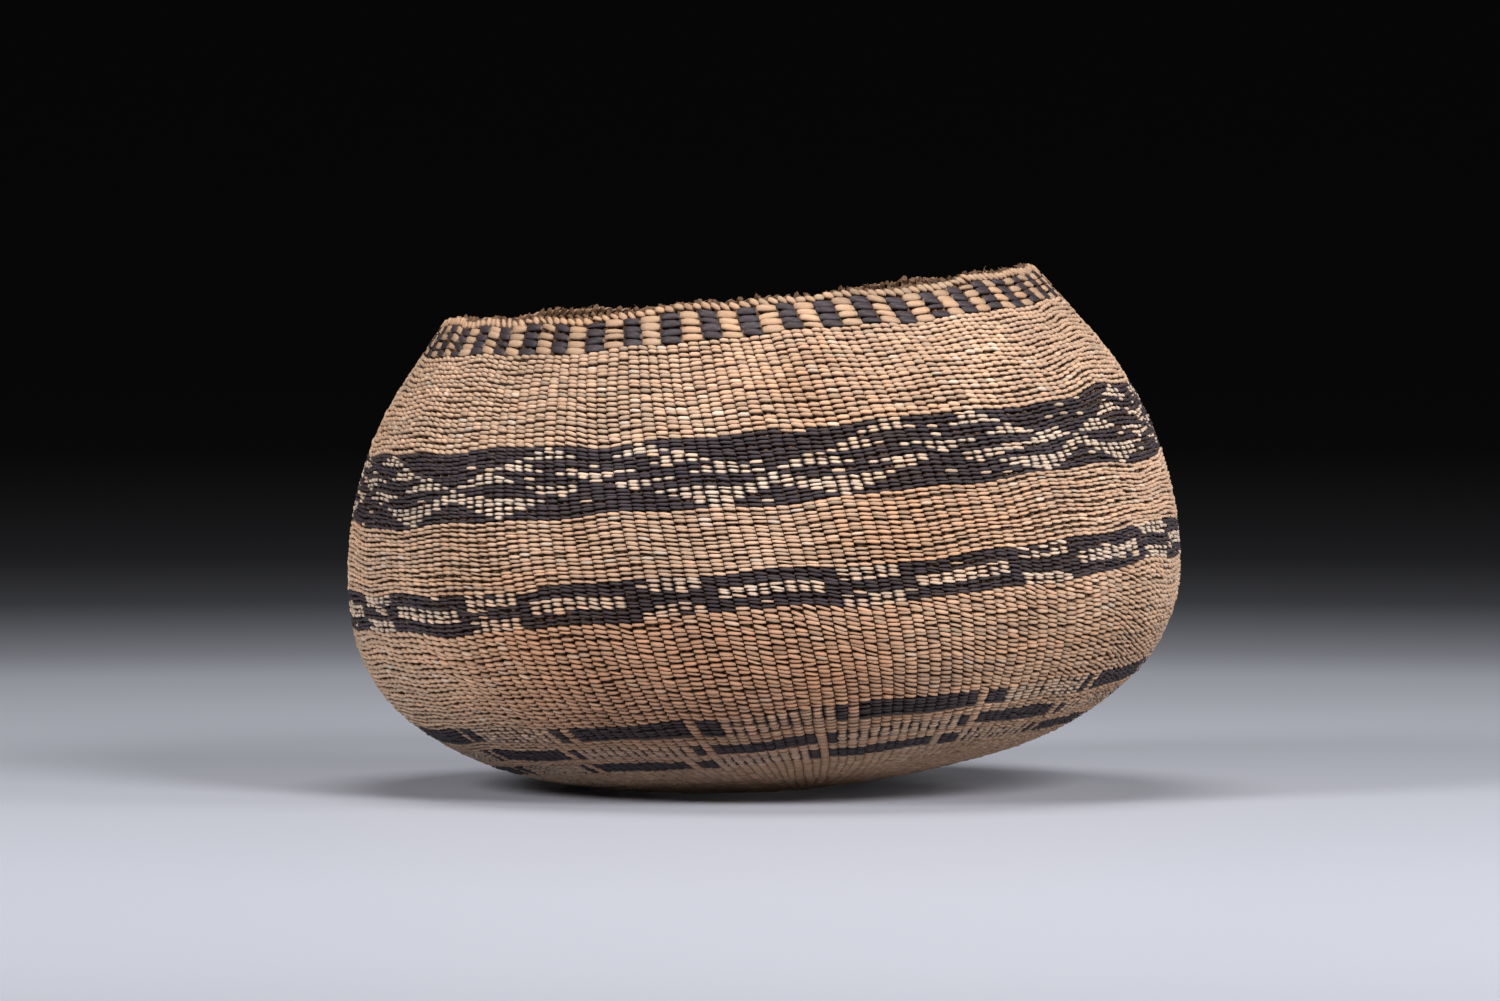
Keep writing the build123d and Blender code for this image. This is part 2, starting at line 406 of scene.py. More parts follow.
def strand_piece(name, courses, sticks, strand, shades, seed, heavy=1.0, flat=1.0, steep=1.0):
    """One of the two strands of each of some courses, as a closed flattened tube.

    The strand crosses outside a stick and inside the next. At each place along it, its middle lies a share
    of its swing outwards or inwards from the middle of the sticks, and a share of the pitch up or down,
    which makes the slant. heavy, flat and steep thicken the strand, broaden its crown and add to the slant.
    Its section, turned about the strand by an angle a, puts a corner that is o outwards and w along the
    wall at o cos a - w sin a and o sin a + w cos a, so that its crown shows on both sides of the wall.
    courses holds the middle and the pitch of each course, and sticks how many sticks it crosses, which may
    differ. shades gives the colours along the stitches of a course."""
    woven = weave()
    random = np.random.default_rng(seed)
    steps = len(STITCH_PLACES)
    crown = woven.strand_thickness / 2 * heavy
    outside = woven.stick_middle - crown
    inside = woven.wall - crown - woven.stick_middle
    angle_about = np.pi * TURN_SHARES[:, None]
    crossing = np.abs(TURN_SHARES) == 0.5
    corner_widths = CORNER_WIDTH_SHARES * np.array((flat, flat, 1, 1))
    # The painted light: painted shade on the flanks and at the ends of stitches, and a painted reflection on
    # the flanks.
    tint = np.where(CORNER_LIGHT_SHARES[:, None] < 1, FLANK_TINT, 1)
    light = LIGHT_SHARES[:, None, None] * CORNER_LIGHT_SHARES[:, None] * tint
    corner_blocks, shade_blocks, face_blocks = [], [], []
    first_corner = 0
    for group in sorted(set(sticks)):
        chosen = [i for i, number in enumerate(sticks) if number == group]
        middle = np.array([courses[i][0] for i in chosen])[:, None, None]
        pitch = np.array([courses[i][1] for i in chosen])[:, None, None]
        row = np.arange(len(chosen))[:, None, None]
        periods = group // 2
        first_places = 2 * np.arange(periods) + strand
        place = first_places[None, :, None] + STITCH_PLACES
        loose, broad, slant, stray = (random.normal(0, 1, (len(chosen), periods, 1)) for _ in range(4))
        turn = stick_turn(place + 0 * middle, middle + 0 * place, group)
        slack = eased(np.cos(4 * turn + 5.3 * row * row + seed), 0.95, 1.0)
        half_width = pitch * WIDTH_SHARES * (1 + WIDTH_SPREAD * broad) * (1 - SLACK_SHARE * slack)
        thin = np.minimum(CROSSING_THICKNESS * pitch, crown)
        half_thick = np.where(crossing, thin, crown) + 0 * half_width
        swing = np.where(SWING_SHARES > 0, outside + OUT_SPREAD * loose, inside)
        depth = woven.stick_middle - SWING_SHARES * swing
        along = course_line(middle + 0 * place, turn) + ROW_WAVE * np.cos(2.4 * row + 17 * turn)
        rise = steep * RISE_SHARES * (1 + SLANT_SPREAD * slant) + PLACE_SPREAD * stray
        along = along + pitch * rise
        out = CORNER_OUT_SHARES * half_thick[..., None]
        across = corner_widths * half_width[..., None]
        corner_depth = depth[..., None] - out * np.cos(angle_about) + across * np.sin(angle_about)
        corner_along = along[..., None] + out * np.sin(angle_about) + across * np.cos(angle_about)
        points = wall_point(turn[..., None] + 0 * corner_depth, corner_along, corner_depth)
        corner_blocks.append(points.reshape(-1, 3))
        face_blocks.append(first_corner + loop_faces(len(chosen), periods * steps))
        first_corner += len(chosen) * periods * steps * 4
        tone = np.stack([shades(i, first_places, random) for i in chosen])
        # Painted shade and a browner stain make the colour darker low on the wall.
        darkening = LOW_SHADE_AND_STAIN + (1 - LOW_SHADE_AND_STAIN) * eased(middle, *LOW_SHADE_AND_STAIN_EDGES)
        lit = (tone * darkening[..., None])[:, :, :, None, :] * light
        shade_blocks.append(lit.clip(0, 1).reshape(-1, 3))
    faces = np.concatenate(face_blocks)
    piece = add_piece(name, np.concatenate(corner_blocks), faces, True)
    corner_colours(piece.data, np.concatenate(shade_blocks))
    strand_maps(piece.data, len(faces) // (4 * steps), steps)
    return piece


def strand_maps(mesh, cells, steps):
    """Two maps: one that gives each stitch a cell of its own in an even grid, with a margin round it, and one
    that lays the strand out lengthwise for its grain."""
    cells_across = int(np.ceil(np.sqrt(cells)))
    cell = np.arange(cells)[:, None, None, None]
    step = np.arange(steps)[None, :, None, None] + np.array((0, 0, 1, 1))
    side = np.arange(4)[None, None, :, None] + np.array((0, 1, 1, 0))
    margin = 0.05
    u = cell % cells_across + margin + (1 - 2 * margin) * step / steps + 0 * side
    v = cell // cells_across + margin + (1 - 2 * margin) * side / 4 + 0 * step
    corner_map(mesh, "OFBake", np.stack([u, v], axis=-1) / cells_across)
    lengthwise = cell + step / steps + 0 * side
    around = side / 4 + 0 * cell + 0 * step
    corner_map(mesh, "Strand", np.stack([lengthwise, around], axis=-1))


# Materials


def node(tree, kind, place, **values):
    made = tree.nodes.new(kind)
    made.location = place
    for name, value in values.items():
        setattr(made, name, value)
    return made


def noise(tree, place, vector, scale, detail, dimensions="3D"):
    made = node(tree, "ShaderNodeTexNoise", place, noise_dimensions=dimensions)
    made.inputs["Scale"].default_value = scale
    made.inputs["Detail"].default_value = detail
    tree.links.new(vector, made.inputs["Vector"])
    return made.outputs["Fac"]


def ranged(tree, place, value, before, after, **values):
    """A value carried from one range into another, and held inside it."""
    made = node(tree, "ShaderNodeMapRange", place, **values)
    for name, number in zip(("From Min", "From Max", "To Min", "To Max"), (*before, *after)):
        made.inputs[name].default_value = number
    tree.links.new(value, made.inputs["Value"])
    return made.outputs["Result"]


def vector_math(tree, place, operation, vector, other=(0, 0, 0)):
    made = node(tree, "ShaderNodeVectorMath", place, operation=operation)
    tree.links.new(vector, made.inputs[0])
    made.inputs[1].default_value = other
    return made.outputs["Value" if operation == "LENGTH" else "Vector"]


def stained(tree, place, paint, share, stain):
    """A colour multiplied by a stain's, as far as a share says."""
    made = node(tree, "ShaderNodeMix", place, data_type="RGBA", blend_type="MULTIPLY")
    made.inputs["B"].default_value = stain
    tree.links.new(share, made.inputs["Factor"])
    tree.links.new(paint, made.inputs["A"])
    return made.outputs["Result"]


# A soft stain low on the front, at the left: its middle, and how quickly it fades each way.
STAIN_MIDDLE = (-0.045, -0.165, 0.055)
STAIN_FADE = (7.0, 7.0, 18.0)


def strand_material(name, roughness):
    """Split root: the colour on its points, which on the strands is their own colour with painted shade and a
    painted reflection from the strand beside, streaked along its length and stained with age, with a fine
    ribbed bump."""
    material = bpy.data.materials.new(name)
    material.use_nodes = True
    tree = material.node_tree
    shader = tree.nodes["Principled BSDF"]
    shader.inputs["Specular IOR Level"].default_value = 0.35
    tint = node(tree, "ShaderNodeAttribute", (-900, 300), attribute_name="strand_colour")
    lay = node(tree, "ShaderNodeUVMap", (-1300, 0), uv_map="Strand")
    where = node(tree, "ShaderNodeTexCoord", (-1300, -350)).outputs["Object"]
    stretch = node(tree, "ShaderNodeMapping", (-1100, 0))
    stretch.inputs["Scale"].default_value = (3.0, 22.0, 1.0)
    tree.links.new(lay.outputs["UV"], stretch.inputs["Vector"])
    streaks = noise(tree, (-900, 0), stretch.outputs["Vector"], 1.0, 3.0, "2D")
    patches = noise(tree, (-900, -350), where, 22.0, 4.0)
    darkening = noise(tree, (-900, -650), where, 8.0, 3.0)
    brightness = node(tree, "ShaderNodeMath", (-500, -100), operation="MULTIPLY")
    tree.links.new(ranged(tree, (-700, 0), streaks, (0, 1), (0.72, 1.25)), brightness.inputs[0])
    tree.links.new(ranged(tree, (-700, -350), patches, (0.3, 0.7), (0.86, 1.1)), brightness.inputs[1])
    aged = ranged(tree, (-700, -650), darkening, (0.5, 0.72), (0, 1))
    paint = stained(tree, (-500, 300), tint.outputs["Color"], aged, (0.93, 0.82, 0.71, 1))
    from_stain = vector_math(tree, (-1100, -900), "SUBTRACT", where, STAIN_MIDDLE)
    scaled = vector_math(tree, (-900, -900), "MULTIPLY", from_stain, STAIN_FADE)
    away = vector_math(tree, (-700, -900), "LENGTH", scaled)
    near = ranged(tree, (-500, -900), away, (1.1, 0.3), (0, 1), interpolation_type="SMOOTHSTEP")
    paint = stained(tree, (-400, 500), paint, near, (0.84, 0.69, 0.60, 1))
    shade = node(tree, "ShaderNodeVectorMath", (-300, 200), operation="SCALE")
    tree.links.new(paint, shade.inputs[0])
    tree.links.new(brightness.outputs["Value"], shade.inputs["Scale"])
    tree.links.new(shade.outputs["Vector"], shader.inputs["Base Color"])
    gloss = ranged(tree, (-500, -300), streaks, (0, 1), (roughness + 0.12, roughness - 0.12))
    tree.links.new(gloss, shader.inputs["Roughness"])
    bump = node(tree, "ShaderNodeBump", (-300, -400))
    bump.inputs["Strength"].default_value = 0.5
    bump.inputs["Distance"].default_value = 0.0002
    tree.links.new(streaks, bump.inputs["Height"])
    tree.links.new(bump.outputs["Normal"], shader.inputs["Normal"])
    return material


def finish_piece(piece, material, slot, *nodes):
    piece.data.materials.append(material)
    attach(piece, "root")
    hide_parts(*nodes)


# Courses and their figures


def even_courses(edges, numbers):
    """The middle and pitch of each course, evenly spaced between each two edges."""
    rows = []
    for low, high, number in zip(edges[:-1], edges[1:], numbers):
        pitch = (high - low) / number
        rows += [(low + (i + 0.5) * pitch, pitch) for i in range(number)]
    return rows


# How many stitches of a strand one length of root makes.
ROOT_STITCHES = 12

# How often a dark stitch shows a tick of the pale strand behind at an end, how often a plain stitch is a
# pale fleck, how often a figured stitch has the wrong colour, and how often a pale one runs dark at its
# ends, in the dash band, the chain band and the triangle band.
TICKS = 0.35
FLECKS = 0.03
CHAIN_ODD = 0.06
TRIANGLE_ODD = 0.05
DASH_DARK_ENDS = 0.6
CHAIN_DARK_ENDS = 0.55
TRIANGLE_DARK_ENDS = 0.7


def stitch_shades(tones, random, dark_ends=None, plain_paint=None):
    """Colours at the eight places along each stitch: six outside in its tone, and two inside.

    tones is 0 for tan, 1 for cream, 2 for dark and 3 for between tan and cream. Where dark_ends is true,
    the stitch runs dark at its ends. Each length of root differs a little from the last."""
    paints = colours()
    stitches = len(tones)
    tan, cream, dark = (np.array(paint[:]) for paint in (paints.tan, paints.cream, paints.dark))
    palette = np.array([tan if plain_paint is None else plain_paint, cream, dark, (cream + tan) / 2])
    roots = np.repeat(random.normal(0, 1, stitches // ROOT_STITCHES + 2), ROOT_STITCHES)[:stitches]
    single = random.normal(0, 1, stitches)
    vary = np.clip(1 + 0.09 * roots + 0.07 * single, 0.55, 1.3)
    ruddy = np.clip(0.5 * random.normal(0, 1, stitches) + 0.7 * np.roll(roots, 5), -2, 2)
    outer = palette[tones] * vary[:, None] * (1 + np.outer(ruddy, (0.01, -0.025, -0.05)))
    shades = np.repeat(outer[:, None, :], 8, axis=1)
    if dark_ends is not None:
        for place in (0, 1, 4, 5):
            shades[:, place] = np.where(dark_ends[:, None], dark, shades[:, place])
    for place in (0, 5):
        tick = (tones == 2) & (random.random(stitches) < TICKS)
        shades[:, place] = np.where(tick[:, None], 0.8 * tan, shades[:, place])
    shades[:, 6:] = (np.array(paints.inside[:]) * vary[:, None])[:, None, :]
    return shades.clip(0, 1)


def plain(course, places, random):
    flecks = random.random(len(places)) < FLECKS
    return stitch_shades(flecks.astype(int), random)


# The three dark runs of the dash band: degrees right of the middle of the front where a repeat starts, at
# what length along the outline, and the stitches in its long dash, its short dash and its pale stretch.
DASH_RUNS = (
    (-36.0, 0.1296, 11, 2, 10),
    (-9.9, 0.1455, 10, 1, 12),
    (-33.0, 0.1622, 11, 2, 10),
)


def dash_figure(course, places, random):
    """Three runs of five courses with three plain ones between them. In each run a repeat of 26 stitches is
    a long dash, a gap, a short dash, a stretch of single pale stitches, a shorter dash and a gap. In the
    middle run the long dash lies under the single stitches of the others."""
    run, row = divmod(course, 8)
    if row >= 5:
        return stitch_shades(np.zeros(len(places), int), random)
    degrees, along, long, short, singles = DASH_RUNS[run]
    place = repeat_place(places, degrees, along, 26)
    short_end = long + short
    dark = (place < long) | ((place > long) & (place <= short_end)) | (place == short_end + 1 + singles)
    single = (place > short_end) & (place < short_end + 1 + singles)
    tones = np.where(dark, 2, np.where(single, 3, 0))
    dark_ends = single & (random.random(len(places)) < DASH_DARK_ENDS)
    return stitch_shades(tones, random, dark_ends)


def chain_figure(course, places, random):
    """Nine courses, in three threes. A repeat of 15 stitches is a box of ten, dark above, below and at its
    ends and cream inside, and a link of five, dark in the middle and cream above and below it. Odd dark
    stitches are pale, and odd cream ones of a link are dark."""
    place = repeat_place(places, -34.0, 0.2256, 15)
    box = place < 10
    middle = 3 <= course < 6
    box_end = (place == 0) | (place == 9)
    dark = np.where(box, box_end | (not middle), middle)
    odd = random.random(len(places)) < CHAIN_ODD
    tones = np.where(dark, np.where(odd, 3, 2), np.where(odd & ~box, 2, 1))
    dark_ends = (tones == 1) & (random.random(len(places)) < CHAIN_DARK_ENDS)
    return stitch_shades(tones, random, dark_ends)


# Cream steps of the triangle band: the course, and the first and last stitch out from the middle of a small
# dark triangle that stands at the bottom. Each is a row of a small cream pyramid, of three rows or five.
CREAM_STEPS = (
    (0, 5, 5),
    (1, 4, 6),
    (2, 3, 7),
    (3, 2, 8),
    (4, 1, 9),
    (5, 0, 2),
    (5, 11, 11),
    (6, 0, 1),
    (6, 10, 12),
    (7, 0, 0),
    (7, 8, 12),
    (8, 1, 6),
    (8, 14, 14),
    (9, 2, 5),
    (9, 13, 14),
    (10, 3, 4),
    (10, 11, 14),
    (11, 5, 9),
    (12, 6, 8),
    (12, 14, 14),
    (13, 7, 7),
    (14, 8, 12),
    (15, 9, 11),
    (16, 10, 10),
)


def triangle_figure(course, places, random):
    """Seventeen courses. A repeat of 28 stitches is the same on both sides of its middle. Cream pyramids in
    steps part the dark triangles that stand from those that hang, and odd dark stitches are pale."""
    away = np.abs(np.remainder(repeat_place(places, 1.6, 0.279, 28) + 14, 28) - 14)
    cream = np.zeros(len(places), bool)
    for row, near, far in CREAM_STEPS:
        if row == course:
            cream |= (away >= near) & (away <= far)
    odd = random.random(len(places)) < TRIANGLE_ODD
    tones = np.where(cream, 1, np.where(odd, 3, 2))
    dark_ends = cream & (random.random(len(places)) < TRIANGLE_DARK_ENDS)
    return stitch_shades(tones, random, dark_ends)


def weave_zone(name, edges, numbers, figure, seed, slot, nodes, sticks=None, steep=1.0):
    """Both strands of the courses of a zone, each strand a piece of its own."""
    courses = even_courses(edges, numbers)
    sticks = sticks or [weave().stick_count] * len(courses)
    material = strand_material(name, 0.6)
    for strand, part in enumerate(("first", "second")):
        piece_name = f"{name}_{part}_strands"
        piece = strand_piece(piece_name, courses, sticks, strand, figure, seed + strand, steep=steep)
        finish_piece(piece, material, slot, *nodes)


# Operators


class BASKET_OT_base_wefts(bpy.types.Operator):
    """Weaves the plain courses of the base, with more sticks further out"""

    bl_idname = "basket.base_wefts"
    bl_label = "Base wefts"

    def execute(self, context):
        w = weave()
        starts = (w.knot_edge, w.second_sticks_start, w.third_sticks_start, w.fourth_sticks_start)
        numbers = (6, 11, 18, 15)
        sets = zip(numbers, (28, 56, 112, w.stick_count))
        sticks = [crossed for number, crossed in sets for _ in range(number)]
        nodes = ["base_wefts", "base_wefts_inside"]
        weave_zone("base_wefts", (*starts, w.dash_start), numbers, plain, 10, "plain_weft", nodes, sticks)
        return {"FINISHED"}


# Where the dark runs of the dash band and the plain courses between them meet, along the outline.
DASH_EDGES = (0.1346, 0.1408, 0.1502, 0.1569)


class BASKET_OT_dash_band(bpy.types.Operator):
    """Weaves the lowest figured band, with three rows of dashes"""

    bl_idname = "basket.dash_band"
    bl_label = "Dash band"

    def execute(self, context):
        w = weave()
        edges = (w.dash_start, *DASH_EDGES, w.lower_wall_start)
        nodes = ["dash_band_wefts", "lower_wall_wefts_inside"]
        weave_zone("dash_band_wefts", edges, (5, 3, 5, 3, 5), dash_figure, 20, "figured_weft", nodes)
        return {"FINISHED"}


class BASKET_OT_lower_wall(bpy.types.Operator):
    """Weaves the plain lower wall"""

    bl_idname = "basket.lower_wall"
    bl_label = "Lower wall"

    def execute(self, context):
        w = weave()
        nodes = ["lower_wall_wefts", "lower_wall_wefts_inside"]
        edges = (w.lower_wall_start, w.chain_start)
        weave_zone("lower_wall_wefts", edges, (22,), plain, 30, "plain_weft", nodes, steep=1.9)
        return {"FINISHED"}


class BASKET_OT_chain_band(bpy.types.Operator):
    """Weaves the band with the chain of boxes"""

    bl_idname = "basket.chain_band"
    bl_label = "Chain band"

    def execute(self, context):
        w = weave()
        nodes = ["chain_band_wefts", "lower_wall_wefts_inside"]
        edges = (w.chain_start, w.middle_wall_start)
        weave_zone("chain_band_wefts", edges, (9,), chain_figure, 40, "figured_weft", nodes, steep=1.6)
        return {"FINISHED"}


class BASKET_OT_middle_wall(bpy.types.Operator):
    """Weaves the plain wall round the belly"""

    bl_idname = "basket.middle_wall"
    bl_label = "Middle wall"

    def execute(self, context):
        w = weave()
        nodes = ["middle_wall_wefts", "upper_wall_wefts_inside"]
        edges = (w.middle_wall_start, w.triangle_start)
        weave_zone("middle_wall_wefts", edges, (15,), plain, 50, "plain_weft", nodes)
        return {"FINISHED"}


class BASKET_OT_triangle_band(bpy.types.Operator):
    """Weaves the widest figured band, with its triangles and steps"""

    bl_idname = "basket.triangle_band"
    bl_label = "Triangle band"

    def execute(self, context):
        w = weave()
        nodes = ["triangle_band_wefts", "upper_wall_wefts_inside"]
        edges = (w.triangle_start, w.shoulder_start)
        weave_zone("triangle_band_wefts", edges, (17,), triangle_figure, 60, "figured_weft", nodes)
        return {"FINISHED"}


class BASKET_OT_shoulder(bpy.types.Operator):
    """Weaves the plain shoulder up to the rim"""

    bl_idname = "basket.shoulder"
    bl_label = "Shoulder"

    def execute(self, context):
        w = weave()
        nodes = ["shoulder_wefts", "upper_wall_wefts_inside"]
        edges = (w.shoulder_start, w.rim_start)
        weave_zone("shoulder_wefts", edges, (20,), plain, 70, "plain_weft", nodes)
        return {"FINISHED"}


def rim_dark(course, places, random):
    return stitch_shades(np.full(len(places), 2), random)


def rim_pale(course, places, random):
    return stitch_shades(np.zeros(len(places), int), random, plain_paint=colours().rim_tan[:])


class BASKET_OT_rim_band(bpy.types.Operator):
    """Weaves the four heavy courses of the rim, a dark strand with a pale one over two sticks at a time"""

    bl_idname = "basket.rim_band"
    bl_label = "Rim band"

    def execute(self, context):
        w = weave()
        courses = even_courses((w.rim_start, w.top_start), (4,))
        pairs = [w.stick_count // 2] * 4
        nodes = ["rim_course_1", "rim_course_2", "rim_course_3", "rim_course_4", "rim_courses_inside"]
        material = strand_material("rim_wefts", 0.5)
        for strand, (part, shades) in enumerate((("dark", rim_dark), ("pale", rim_pale))):
            name = f"rim_{part}_strands"
            piece = strand_piece(name, courses, pairs, strand, shades, 80 + strand, heavy=1.2, flat=1.5)
            finish_piece(piece, material, "rim_weft", *nodes)
        return {"FINISHED"}


class BASKET_OT_top_course(bpy.types.Operator):
    """Weaves the last fine course, which closes the rim"""

    bl_idname = "basket.top_course"
    bl_label = "Top course"

    def execute(self, context):
        w = weave()
        nodes = ["rim_top_course", "rim_top_course_inside"]
        courses = even_courses((w.top_start, w.trim_start), (1,))
        sticks = [w.stick_count]
        material = strand_material("rim_top_wefts", 0.6)
        for strand, part in enumerate(("first", "second")):
            name = f"rim_top_{part}_strand"
            piece = strand_piece(name, courses, sticks, strand, rim_pale, 90 + strand, flat=1.2, steep=1.8)
            finish_piece(piece, material, "plain_weft", *nodes)
        return {"FINISHED"}


class BASKET_OT_sticks(bpy.types.Operator):
    """Stands the sticks in the wall, from the start knot or from where they were added, up past the rim"""

    bl_idname = "basket.sticks"
    bl_label = "Sticks"

    def execute(self, context):
        """Each stick is a tube with six corners at even angles a about its line: a corner is cos a of half
        its width aside, and sin a of half its thickness inwards. It is narrower where the sticks stand
        close, and it is trimmed roughly, a little way above the last course."""
        w = weave()
        random = np.random.default_rng(5)
        number, steps, corners = w.stick_count, 44, 6
        least_above, most_above, roughness = 0.0004, 0.0028, 0.0007
        kind = np.arange(number) % GROUP_STICKS
        starts = np.where(kind == 0, w.knot_edge * 0.9, w.fourth_sticks_start)
        starts = np.where(kind == 4, w.second_sticks_start, starts)
        starts = np.where((kind == 2) | (kind == 6), w.third_sticks_start, starts)[:, None]
        left_above = least_above + (most_above - least_above) * random.random(number) ** 2
        ends = (w.trim_start + left_above)[:, None]
        level = starts + (ends - starts) * np.linspace(0, 1, steps)
        turn = stick_turn(np.arange(number)[:, None] + 0 * level, level, number)
        out, _, _ = outline_point(level)
        room = 2 * np.pi * out / number
        half_wide = np.minimum(0.4 * room, 0.6 * w.stick_thickness)
        ring = 2 * np.pi * np.arange(corners) / corners
        corner_turn = turn[..., None] + (half_wide / out)[..., None] * np.cos(ring)
        corner_depth = w.stick_middle + w.stick_thickness / 2 * np.sin(ring) + 0 * corner_turn
        corner_along = course_line(level, turn)[..., None] + 0 * corner_turn
        corner_along[:, -1, :] += roughness * random.normal(0, 1, (number, corners))
        piece = capped_tubes("sticks", wall_point(corner_turn, corner_along, corner_depth))
        vary = np.clip(1 + 0.2 * random.normal(0, 1, number), 0.5, 1.6)
        shades = np.array(colours().stick[:]) * vary[:, None]
        corner_colours(piece.data, np.repeat(shades, steps * corners, axis=0))
        finish_piece(piece, strand_material("stick", 0.7), "warp", "warps")
        return {"FINISHED"}


class BASKET_OT_start_knot(bpy.types.Operator):
    """Lays the first sticks across each other at the middle of the base, seven over and under seven"""

    bl_idname = "basket.start_knot"
    bl_label = "Start knot"

    def execute(self, context):
        """Each strip is flat and runs straight across the knot. At a length l along it, it lies over or under
        the middle by its swing times cos(pi l / pitch). The second seven are the first turned by a quarter,
        the other way up."""
        w = weave()
        number, steps, swing = 7, 48, 0.0011
        pitch = 2 * w.knot_edge / number
        offset = (np.arange(number) - (number - 1) / 2) * pitch
        reach = np.sqrt((w.knot_edge * 1.08) ** 2 - offset**2)
        along = reach[:, None] * np.linspace(-1, 1, steps)
        over = swing * np.cos(np.pi * (along / pitch + np.arange(number)[:, None]))
        corner_sides = np.array((-1.0, 1.0, 1.0, -1.0))
        corner_depths = w.strand_thickness / 2 * np.array((-1.0, -1.0, 1.0, 1.0))
        side = offset[:, None, None] + 0.44 * pitch * corner_sides + 0 * along[..., None]
        ahead = along[..., None] + 0 * side
        strips = []
        for x, y, sign in ((ahead, side, 1), (side, -ahead, -1)):
            depth = w.stick_middle - sign * over[..., None] + corner_depths
            strips.append(wall_point(np.arctan2(y, x), np.hypot(x, y), depth))
        piece = capped_tubes("start_knot", np.concatenate(strips), smooth=True)
        random = np.random.default_rng(7)
        vary = np.clip(1 + 0.12 * random.normal(0, 1, 2 * number), 0.6, 1.3)
        inner = np.array(colours().inside[:])
        outer = 0.8 * np.array(colours().tan[:])
        section = np.stack([outer, outer, inner, inner])
        shades = vary[:, None, None, None] * section + np.zeros((1, steps, 1, 1))
        corner_colours(piece.data, shades.clip(0, 1))
        finish_piece(piece, strand_material("start_knot", 0.6), "plain_weft", "start_knot")
        return {"FINISHED"}


class BASKET_OT_fibres(bpy.types.Operator):
    """Adds the split fibres that stand out from the trimmed ends"""

    bl_idname = "basket.fibres"
    bl_label = "Fibres"

    def execute(self, context):
        """Each fibre is a thin tube with three corners that tapers. Over a share s of its length it rises
        evenly and droops by s squared, and it bends aside and inwards or outwards by draws of its own."""
        w = weave()
        random = np.random.default_rng(11)
        number, steps, corners = 90, 7, 3
        shortest, longest, thickness, rim_radius = 0.002, 0.008, 0.00016, 0.12
        share = np.linspace(0, 1, steps)[None, :]
        turn = 2 * np.pi * random.random(number)[:, None]
        size = (shortest + (longest - shortest) * random.random(number) ** 3)[:, None]
        bend = random.normal(0, 1, (number, 1))
        rise = (0.25 + 0.75 * random.random((number, 1))) * share - 0.4 * np.abs(bend) * share**2
        level = w.trim_start - 0.001 + 0 * share * turn
        along = course_line(level, turn + 0 * share) + size * rise
        aside = bend * share + random.normal(0, 0.6, (number, 1)) * share**2
        swung = turn + size * aside / rim_radius
        start_depth = w.stick_middle + 0.0012 * random.normal(0, 1, (number, 1))
        depth = start_depth + 0.5 * size * random.normal(0, 0.6, (number, 1)) * share
        ring = 2 * np.pi * np.arange(corners) / corners
        thick = (thickness * (1.15 - share))[..., None]
        corner_turn = swung[..., None] + thick * np.cos(ring) / rim_radius
        corner_along = along[..., None] + 0.5 * thick * np.sin(ring)
        corner_depth = depth[..., None] + thick * np.sin(ring)
        piece = capped_tubes("fibres", wall_point(corner_turn, corner_along, corner_depth))
        shade = 0.8 * np.array(colours().tan[:])
        corner_colours(piece.data, np.repeat(shade[None], number * steps * corners, axis=0))
        finish_piece(piece, strand_material("fibres", 0.7), "warp", "warps")
        return {"FINISHED"}


# The floor is painted with a pool of light that darkens away from a place 0.3 m in front of the basket's
# axis. FADE_STOPS holds shares of FADE_REACH from there, and the share of the floor's colour at each.
# FADE_SHIFT moves that place to the origin.
FADE_SHIFT = (0, 0.3, 0)
FADE_REACH = 4.0
FADE_STOPS = (
    (0.1, 1.0),
    (0.2, 0.93),
    (0.3, 0.82),
    (0.35, 0.54),
    (0.4075, 0.34),
    (0.465, 0.16),
    (0.575, 0.06),
    (0.9, 0.0),
)
FLOOR_RADII = (0.4, 40.0)

# Each round lamp: its place, its width in metres and its power in watts. All face LAMP_TARGET.
LAMPS = (
    ("key", (1.3, -1.9, 1.5), 1.0, 48.0),
    ("fill", (-1.9, -1.6, 1.4), 1.0, 48.0),
    ("side", (2.0, -0.6, 1.0), 1.0, 18.0),
    ("top", (-0.1, 0.1, 2.2), 1.2, 20.0),
)
LAMP_TARGET = (0, 0, 0.1)

# The camera looks down a little from far off, with CAMERA_AIM in the middle of its view. The lens is in
# millimetres, for a frame 36 mm wide.
CAMERA_AIM = (-0.0061, 0.0, 0.1240)
CAMERA_DISTANCE = 9.0
CAMERA_TILT = np.radians(2.7)
CAMERA_LENS = 502.3


def floor_mesh():
    """A round floor: a fan of a small radius with a ring round it, in 96 parts, facing up."""
    parts = 96
    ring = 2 * np.pi * np.arange(parts) / parts
    rims = [np.stack([r * np.cos(ring), r * np.sin(ring), 0 * ring], axis=-1) for r in FLOOR_RADII]
    corners = np.concatenate([np.zeros((1, 3))] + rims)
    this = np.arange(parts) + 1
    following = this % parts + 1
    fans = np.stack([0 * this, this, following], axis=-1).tolist()
    quads = np.stack([this, this + parts, following + parts, following], axis=-1).tolist()
    mesh = bpy.data.meshes.new("floor")
    mesh.from_pydata(corners, [], fans + quads)
    return mesh


